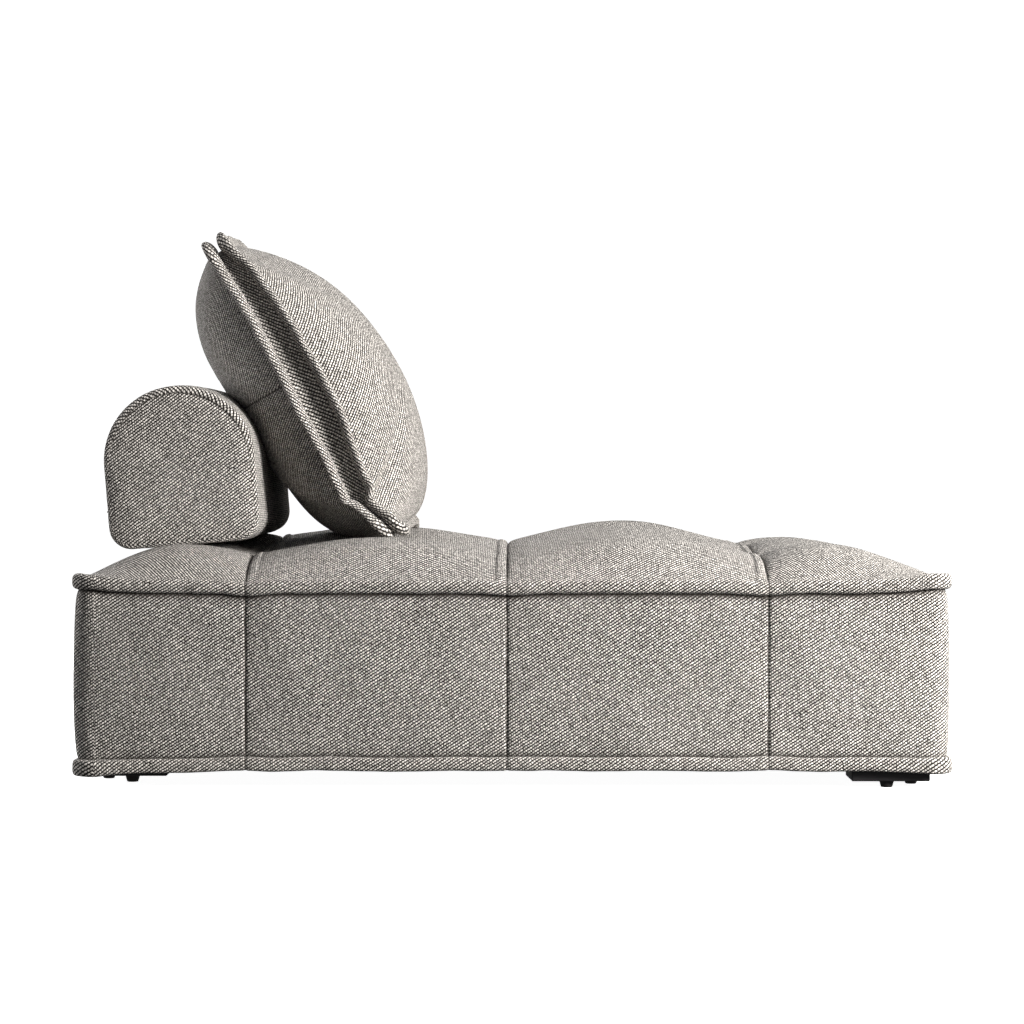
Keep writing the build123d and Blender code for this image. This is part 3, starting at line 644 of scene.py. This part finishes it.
def bolster():
    """The wrap, rolled over both end edges, and the two end panels."""
    section_points, out = bolster_loop()
    on_top = np.clip(1.5 * out[:, 1] + 0.15, 0, 1)
    rim, rim_drop = 8.0 + 4.5 * on_top, 7.5
    straight = BOLSTER_Y - rim_drop
    ys = np.linspace(-BOLSTER_Y + rim_drop, straight, 90)
    roll = np.linspace(0, math.pi / 2, 7)[1:]
    turned_y = rim_drop * np.sin(roll)
    turned_in = 1 - np.cos(roll)
    y_line = np.concatenate([-straight - turned_y[::-1], ys, straight + turned_y])
    inset = np.concatenate([turned_in[::-1], np.zeros(len(ys)), turned_in])
    under = np.clip(-out[:, 1], 0, 1)
    off = bolster_swell(y_line)[None] * (1 - 0.9 * under[:, None]) - rim[:, None] * inset[None]
    loop_run = arc(np.vstack([section_points, section_points[:1]]))
    girth_run, girth = loop_run[:-1], loop_run[-1]
    to_end = np.minimum(BOLSTER_Y - y_line, BOLSTER_Y + y_line)
    pucker = ripple(girth_run, 18, 44, round_trip=girth) * patches(girth_run, 120, girth)
    off += 0.9 * pucker[:, None] * (np.exp(-to_end / 26.0) * (1 - np.exp(-to_end / 9.0)))[None]
    for _ in range(3):
        slant = y_line[None] + rng.uniform(-1, 1) * girth_run[:, None]
        off += 0.45 * ripple(slant, 80, 260, 2) * np.sin(np.pi * girth_run[:, None] / girth)
    flat = section_points[:, None] + out[:, None] * off[..., None]
    points = bolster_world(flat, np.broadcast_to(y_line[None], off.shape))
    # The zip shows in a shallow channel low on the back
    zip_low, zip_high = corners("bolster_zip")
    by_zip = (points[..., 2] > zip_low[2] - 2) & (points[..., 2] < zip_high[2] + 2)
    by_zip &= (points[..., 0] < BOLSTER_X) & (np.abs(points[..., 1]) < zip_high[1] + 3)
    points[..., 0] = np.where(by_zip, zip_high[0] - 0.6, points[..., 0])
    wrap_run = np.concatenate([[0], np.cumsum(np.hypot(np.diff(y_line), 8 * np.diff(inset)))])
    uv = np.stack(np.broadcast_arrays(loop_run[:, None] * MM, wrap_run[None] * MM), -1)
    # Painted shade in the seams at both rolled ends, on the top of the round only
    painted_shade = np.zeros(len(y_line))
    painted_shade[[0, -1]] = 0.8
    wrap = cloth(
        "bolster_wrap", points, uv, "bolster", ["bolster_sleeve", "bolster_foam"], closed=True,
        painted_shade=painted_shade[None] * on_top[:, None],
    )
    # The ends: rings from the wrap's rolled edge in to one point
    share = np.concatenate([[1.0, 0.988, 0.97, 0.94], np.linspace(0.9, 0.0, 24)])
    from_rim = (1 - share) * 130
    edge = section_points - out * rim[:, None]
    centre = np.array([0.0, -8.0])
    flat = centre + (edge - centre)[:, None] * share[None, :, None]
    # Painted shade round each end panel's rim, on the top of the round only
    shade = hill(from_rim[None], 1.6) * 0.8 * on_top[:, None]
    for side, node in ((-1, "bolster_end_front"), (1, "bolster_end_back")):
        dome = (4.0 * (1 - share**4) + 3.0 * (1 - np.exp(-from_rim / 9.0)))[None]
        dome = dome - 2.0 * on_top[:, None]
        dome = dome + 0.5 * ripple(flat[..., 0] + 0.6 * flat[..., 1], 60, 180, 3)
        points = bolster_world(flat, side * (BOLSTER_Y + dome * (share < 1)))
        uv = np.stack([-side * flat[..., 0], flat[..., 1]], -1) * MM
        cloth(
            f"{node}_cloth", points, np.concatenate([uv, uv[:1]]), "bolster", [node], closed=True,
            painted_shade=shade, flip=side > 0,
        )
    return wrap


# ---------------------------------------------------------------- pillow

front_mid = np.mean(corners("pillow_front_flange"), axis=0)
back_mid = np.mean(corners("pillow_back_flange"), axis=0)
PILLOW = (front_mid + back_mid) / 2
FACING = (front_mid - back_mid) / np.linalg.norm(front_mid - back_mid)
RISING = np.array([-FACING[2], 0, FACING[0]])
PILLOW_HALF = 296.0  # from its middle to its edge
PILLOW_CORNER = 26.0  # radius of its corners
HALF_GUSSET = 22.0  # from the pillow's middle to the plane that a panel's crown stands on
GUSSET_WIDE = 46.0
BACK_SEAM = 22.0  # height of the seam across the back, from the pillow's middle
# Heights on the pillow, and how far in front of its middle each seam lies there, as photographed
SIDE_FRONT = (
    (-314, -277, -242, -229, -214, -150, -95, -29, 41, 131, 229, 300),
    (8, -1, -10, -9, 1, 11, 24, 33, 36, 38, 32, 16),
)
SIDE_BACK = (
    (-300, -240, -215, -208, -145, -35, 60, 144, 240, 300),
    (-14, -28, -42, -46, -36, -29, -20, -14, -13, -15),
)


def pillow_world(a, b, n):
    """From the pillow's own axes (across, up, facing) to the row's."""
    return PILLOW + np.stack(
        [RISING[0] * b + FACING[0] * n, a + 0 * b, RISING[2] * b + FACING[2] * n], -1
    )


def seam_line(a, b, side):
    """How far in front of the pillow's middle its front (1) or back (-1) seam lies."""
    table = SIDE_FRONT if side > 0 else SIDE_BACK
    at_side = np.interp(b, *table)
    at_end = side * (9 + 15 * (1 - np.clip(np.abs(a) / PILLOW_HALF, 0, 1) ** 2))
    weight_side = 1 / (1 + np.exp(-(np.abs(a) - np.abs(b)) / 22.0))
    return weight_side * at_side + (1 - weight_side) * at_end


def even(profile, count=200):
    """Positions from -1 to 1 evenly spaced along a curved profile, and the profile's length."""
    dense = np.sin(np.linspace(-math.pi / 2, math.pi / 2, 801))
    length = arc(np.column_stack([dense * PILLOW_HALF, profile(dense)]))
    return np.interp(np.linspace(0, length[-1], count), length, dense), length[-1]


def seam_stations(profile, step=5.5):
    """Stations across a panel: distances along its cloth from the middle, and shares of a half."""
    shares, long = even(profile)
    along = stations(-long / 2, long / 2, step)
    return along, np.interp(along, np.linspace(-long / 2, long / 2, len(shares)), shares)


def front_shape(u, v):
    """The front panel's crown, leaning towards its lower edge."""
    power = 0.66 + 0.08 * v + 0.12 * np.clip(v, 0, 1) ** 2
    return 137 * (1 - u**2) ** 0.62 * (1 - v**2) ** power


def back_shape(u, v):
    """The back panel's crown, flatter and squarer."""
    power = 0.58 + 0.16 * np.clip(v, 0, 1)
    return -118 * (1 - np.abs(u) ** 3) ** 0.62 * (1 - v**4) ** power


def clear_of_others(points):
    """Dents the pillow where the bolster and the seat press on it."""
    dx, dz = points[..., 0] - BOLSTER_X, points[..., 2] - BOLSTER_Z
    away = np.maximum(np.hypot(dx, dz), 1e-9)
    hold = BOLSTER_R + bolster_swell(points[..., 1]) + 1.8
    inside = np.abs(points[..., 1]) < BOLSTER_Y + 2
    push = np.where(inside, np.maximum(hold - away, 0), 0)
    points[..., 0] += dx / away * push
    points[..., 2] += dz / away * push
    floor = top_height(points[..., 0], points[..., 1]) + 2.5
    points[..., 2] = np.maximum(points[..., 2], floor)
    return points


def pillow_panel(name, side, nodes):
    """The front (1) or back (-1) panel, stuffed full."""
    shape = front_shape if side > 0 else back_shape
    su, us = seam_stations(lambda t: shape(t, 0 * t))
    sv, vs = seam_stations(lambda t: shape(0 * t, t))
    if side < 0:
        # More stations close to the seam across the back
        at_seam = np.interp(BACK_SEAM / PILLOW_HALF, vs, sv)
        close = np.array([0, 1.1, 2.2, 3.6, 5.2, 7.5, 10.5])
        added = at_seam + np.concatenate([-close[:0:-1], close])
        kept = sv[np.abs(sv - at_seam) > 13]
        fresh = np.sort(np.concatenate([kept, added]))
        sv, vs = fresh, np.interp(fresh, sv, vs)
    u, v = np.meshgrid(us, vs, indexing="ij")
    cu, cv = round_corners(u, v, 1, 1, 0.4, 0.16)
    a, b = cu * PILLOW_HALF, cv * PILLOW_HALF
    out_to = np.maximum(np.abs(cu), np.abs(cv))
    edge_u = np.clip(cu / np.maximum(out_to, 1e-6), -1, 1)
    edge_v = np.clip(cv / np.maximum(out_to, 1e-6), -1, 1)
    share = out_to**2
    rim = seam_line(edge_u * PILLOW_HALF, edge_v * PILLOW_HALF, side)
    n = rim * share + side * HALF_GUSSET * (1 - share) + shape(u, v)
    gap_u, gap_v = su[-1] - np.abs(su), sv[-1] - np.abs(sv)
    for distance, along in ((gap_u[:, None], b), (gap_v[None, :], a)):
        pull = ripple(along, 26, 70) * patches(along, 160)
        n = n + side * 1.6 * pull * np.exp(-distance / 34.0) * (1 - np.exp(-distance / 6.0))
    for _ in range(4):
        n = n + 0.8 * ripple(a + rng.uniform(-1, 1) * b, 120, 360, 2)
    rim_gap = np.minimum(gap_u[:, None], gap_v[None, :])
    # Painted shade in the seams round the panel's edge and, on the back, in the seam across it
    painted_shade = 0.75 * hill(rim_gap, 1.8)
    if side < 0:
        from_seam = np.abs(sv - at_seam)[None] + 0 * n
        n = n + 2.5 * hill(from_seam, 2.6) + 2.0 * np.exp(-from_seam / 14.0)
        painted_shade = np.maximum(painted_shade, 0.9 * hill(from_seam, 1.7))
        b = b + 16 * (1 - u**2) * hill(b - BACK_SEAM, 150.0)
    points = clear_of_others(pillow_world(a, b, n))
    # The cloth is stretched over the front and slack at the back, as its ribs show
    stretch = 0.88 if side > 0 else 1.06
    uv = np.stack(np.broadcast_arrays(side * su[:, None], sv[None, :]), -1) * MM * stretch
    return cloth(name, points, uv, "pillow", nodes, painted_shade=painted_shade, flip=side < 0)


def pillow_outline(step=6.0):
    """Stations round the pillow's edge: across, up, and the outward direction of each."""
    reach = PILLOW_HALF - PILLOW_CORNER
    at, out = [], []
    for nx, ny, dx, dy in ((0, -1, 1, 0), (1, 0, 0, 1), (0, 1, -1, 0), (-1, 0, 0, -1)):
        for run_at in np.linspace(-reach, reach, int(2 * reach / step))[:-1]:
            at.append((nx * PILLOW_HALF + dx * run_at, ny * PILLOW_HALF + dy * run_at))
            out.append((nx, ny))
        for angle in np.linspace(0, math.pi / 2, 12)[:-1]:
            ox = nx * math.cos(angle) + dx * math.sin(angle)
            oy = ny * math.cos(angle) + dy * math.sin(angle)
            at.append(
                ((nx + dx) * reach + PILLOW_CORNER * ox, (ny + dy) * reach + PILLOW_CORNER * oy)
            )
            out.append((ox, oy))
    return np.array(at), np.array(out)


def pillow_edges():
    """The gusset and the two flanges that stand out from it."""
    at, out = pillow_outline()
    edge_run = arc(np.vstack([at, at[:1]]))
    line, girth = edge_run[:-1], edge_run[-1]
    ear = hill(np.hypot(np.abs(at[:, 0]) - 286, np.abs(at[:, 1]) - 286), 38.0)
    crumple = hill(np.hypot(np.abs(at[:, 0]) - 296, at[:, 1] + 250), 60.0)
    seams = {side: seam_line(at[:, 0], at[:, 1], side) for side in (1, -1)}
    direction = np.stack([RISING[0] * out[:, 1], out[:, 0], RISING[2] * out[:, 1]], -1)
    facing = np.broadcast_to(FACING, direction.shape)
    across = np.linspace(0, 1, 13)
    n = seams[-1][:, None] * (1 - across) + seams[1][:, None] * across
    bulge = -2.0 - 9.0 * np.sin(np.pi * across)[None] ** 0.7
    pull = ripple(line, 40, 120, round_trip=girth) * patches(line, round_trip=girth)
    bulge = bulge + 1.2 * pull[:, None]
    a = at[:, 0, None] + out[:, 0, None] * bulge
    b = at[:, 1, None] + out[:, 1, None] * bulge
    points = clear_of_others(pillow_world(a, b, n))
    # The zip shows along the middle of the gusset's lower side
    zip_low, zip_high = corners("pillow_zip")
    by_zip = (points[..., 0] > zip_low[0] - 2) & (points[..., 0] < zip_high[0] + 2)
    by_zip &= (at[:, 1, None] < -200) & (np.abs(points[..., 1]) < zip_high[1] + 3)
    points[..., 2] = np.where(by_zip, zip_high[2] - 1.0, points[..., 2])
    uv = np.stack(np.broadcast_arrays(edge_run[:, None], GUSSET_WIDE * across[None]), -1) * MM
    # Painted shade along both of the gusset's seams with the flanges
    shade = np.maximum(np.exp(-across / 0.08), np.exp(-(1 - across) / 0.08)) * 0.6
    cloth(
        "pillow_gusset_cloth", points, uv, "pillow", ["pillow_gusset"], closed=True,
        painted_shade=shade[None] * np.ones((len(line), 1)), flip=True,
    )
    profile = section(15.0, 17.0, 150, -150, back=2.0, square=0.9, count=21)
    for side, node in ((1, "pillow_front_flange"), (-1, "pillow_back_flange")):
        wiggle = 1.3 * ripple(line, 45, 150, round_trip=girth)
        wiggle = wiggle + 3.5 * crumple * ripple(line, 30, 60, 3, girth)
        middle = pillow_world(at[:, 0], at[:, 1], seams[side] + wiggle)
        swell = 1 + 0.07 * ripple(line, 40, 130, round_trip=girth)
        swell = swell + np.where(at[:, 1] < 0, 0.7, 0.3) * ear
        push = direction + facing * (0.22 * side)
        push /= np.linalg.norm(push, axis=1, keepdims=True)
        piece = swept(
            f"{node}_cloth", middle, push, facing * side, profile, "pillow", [node], edge_run,
            swell, flip=side < 0, slant=-side,
        )
        mesh = piece.data
        flat = np.empty(len(mesh.vertices) * 3)
        mesh.vertices.foreach_get("co", flat)
        moved = clear_of_others(flat.reshape(-1, 3) / MM)
        mesh.vertices.foreach_set("co", (moved * MM).ravel())
        mesh.update()


# ---------------------------------------------------------------- build

side_wall()
platform_flanges()
top = tufted_top()
wrap = bolster()
front_panel = pillow_panel("pillow_front", 1, ["pillow_front_panel", "pillow_fill"])
back_panel = pillow_panel(
    "pillow_back", -1, ["pillow_back_panel_upper", "pillow_back_panel_lower"]
)
pillow_edges()

# ---------------------------------------------------------------- stage, light and camera


def turned(name, radii, heights, blocks_light):
    """A pale surface turned round the upright axis, as floor or as backdrop."""
    steps = 96
    angle = np.linspace(0, 2 * math.pi, steps, endpoint=False)
    ring = np.stack([np.outer(radii, np.cos(angle)), np.outer(radii, np.sin(angle))], -1)
    up = np.broadcast_to(heights[:, None, None], (len(radii), steps, 1))
    verts = np.concatenate([ring, up], -1).reshape(-1, 3)
    index = np.arange(len(verts)).reshape(len(radii), steps)
    after = np.roll(index, -1, axis=1)
    quads = np.stack([index[:-1], index[1:], after[1:], after[:-1]], -1).reshape(-1, 4)
    mesh = bpy.data.meshes.new(name)
    mesh.from_pydata(verts.tolist(), [], quads.tolist())
    mesh.polygons.foreach_set("use_smooth", [True] * len(mesh.polygons))
    stage = bpy.data.objects.new(name, mesh)
    bpy.context.collection.objects.link(stage)
    mesh.materials.append(pale)
    stage.visible_diffuse = False
    stage.visible_glossy = False
    stage.visible_shadow = blocks_light


def area(name, at, towards, size, watts, colour=(1, 1, 1)):
    """A square area lamp at one place, aimed at another, in metres and watts."""
    lamp = bpy.data.lights.new(name, "AREA")
    lamp.energy, lamp.size, lamp.color = watts, size, colour
    lamp.shape = "SQUARE"
    holder = bpy.data.objects.new(name, lamp)
    bpy.context.collection.objects.link(holder)
    holder.location = at
    aim = Vector(towards) - Vector(at)
    holder.rotation_euler = aim.to_track_quat("-Z", "Y").to_euler()


n = Nodes("pale_sweep")
n.put(n.shader.inputs["Base Color"], (0.9, 0.9, 0.9, 1))
n.put(n.shader.inputs["Roughness"], 0.9)
n.put(n.shader.inputs["Emission Color"], (1, 1, 1, 1))
n.put(n.shader.inputs["Emission Strength"], 0.97)
pale = n.material
FLOOR_R = 12  # metres
turned("floor", np.linspace(0.01, FLOOR_R, 25), np.zeros(25), True)
rise = np.linspace(0, math.pi / 2, 13)
backdrop_z = 4 * (1 - np.cos(rise)) * np.linspace(1, 3, 13)
turned("backdrop", FLOOR_R + 4 * np.sin(rise), backdrop_z, False)
area("key", (2.7, -2.0, 1.45), (0.1, 0, 0.4), 1.1, 300, (1, 0.985, 0.955))
area("front_fill", (0.4, -5.0, 1.6), (0, 0, 0.4), 2.5, 15)
area("top", (-0.4, 0.2, 2.8), (-0.1, 0, 0.3), 2.0, 18)
area("head_fill", (-3.1, 0.3, 1.0), (0, 0, 0.5), 1.6, 46)
area("back_fill", (-1.4, 3.4, 1.5), (-0.1, 0, 0.4), 2.2, 85)

world = bpy.data.worlds.new("studio")
world.use_nodes = True
world.node_tree.nodes["Background"].inputs[0].default_value = (1, 1, 1, 1)
world.node_tree.nodes["Background"].inputs[1].default_value = 0.1
bpy.context.scene.world = world

camera = bpy.data.cameras.new("camera")
camera.sensor_width = 36.0  # millimetres, as the lens
camera.lens = 105.3
camera.shift_x = -0.0039
camera.clip_end = 100
view = bpy.data.objects.new("camera", camera)
bpy.context.collection.objects.link(view)
view.location = (0.0065, -5.5925, 0.561)
LOOKS_DOWN = 0.995  # degrees
view.rotation_euler = (math.radians(90 - LOOKS_DOWN), 0, 0)
bpy.context.scene.camera = view
bpy.context.scene.view_settings.view_transform = "Standard"
